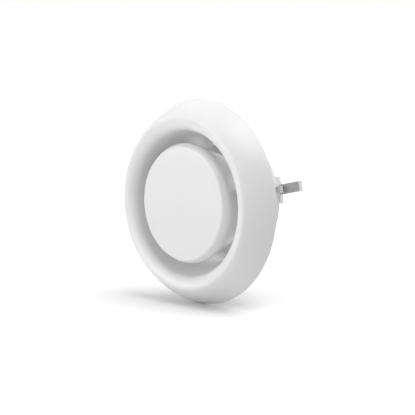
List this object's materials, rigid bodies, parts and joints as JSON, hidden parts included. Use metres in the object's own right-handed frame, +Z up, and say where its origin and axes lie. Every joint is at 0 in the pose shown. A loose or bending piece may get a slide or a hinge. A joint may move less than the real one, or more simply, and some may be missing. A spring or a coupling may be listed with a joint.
{
  "type": "extract air valve",
  "caption": "Round white extract air valve: bell-mouth collar with an adjustable screw disc on a three-legged bridge, held in a duct by spring clips.",
  "frame": {"origin": "on the valve's axis, in the plane of the collar's back rim, which lies on the wall", "axes": "+Y along the valve's axis into the duct, so the face looks along -Y; +Z up"},
  "size_m": [0.165, 0.1053, 0.165],
  "materials": {
    "white_plastic": "smooth moulded, glossy",
    "screw_plastic": "smooth moulded, satin",
    "spring_steel": "rolled strip",
    "foam": "closed-cell foam"
  },
  "bodies": {
    "body": {"collar": "white_plastic", "bridge": "white_plastic", "gasket": "foam", "spring_clip_1": "spring_steel", "spring_clip_2": "spring_steel", "spring_clip_3": "spring_steel"},
    "stop": {"end_stop": "spring_steel"},
    "disc": {"valve_disc": "white_plastic", "spindle": "screw_plastic"},
    "washer": {"lock_washer": "spring_steel"},
    "nut": {"lock_nut": "screw_plastic"}
  },
  "joints": [
    {"name": "disc_travel", "type": "slide", "parent": "body", "child": "stop", "axis": [0, 1, 0], "range_m": [-0.0101, 0.0275]},
    {"name": "disc_turn", "type": "hinge", "parent": "stop", "child": "disc", "pos_m": [0, 0, 0], "axis": [0, 1, 0], "range_deg": [-900, 2466]},
    {"name": "nut_travel", "type": "slide", "parent": "body", "child": "washer", "axis": [0, 1, 0], "range_m": [0, 0.004]},
    {"name": "nut_turn", "type": "hinge", "parent": "washer", "child": "nut", "pos_m": [0, 0.06, 0], "axis": [0, 1, 0], "range_deg": [0, 362]}
  ],
  "couplings": [
    {"joint": "disc_travel", "follows": "disc_turn", "m_per_rad": 0.00063662},
    {"joint": "nut_turn", "follows": "nut_travel", "rad_per_m": 1570.8}
  ]
}
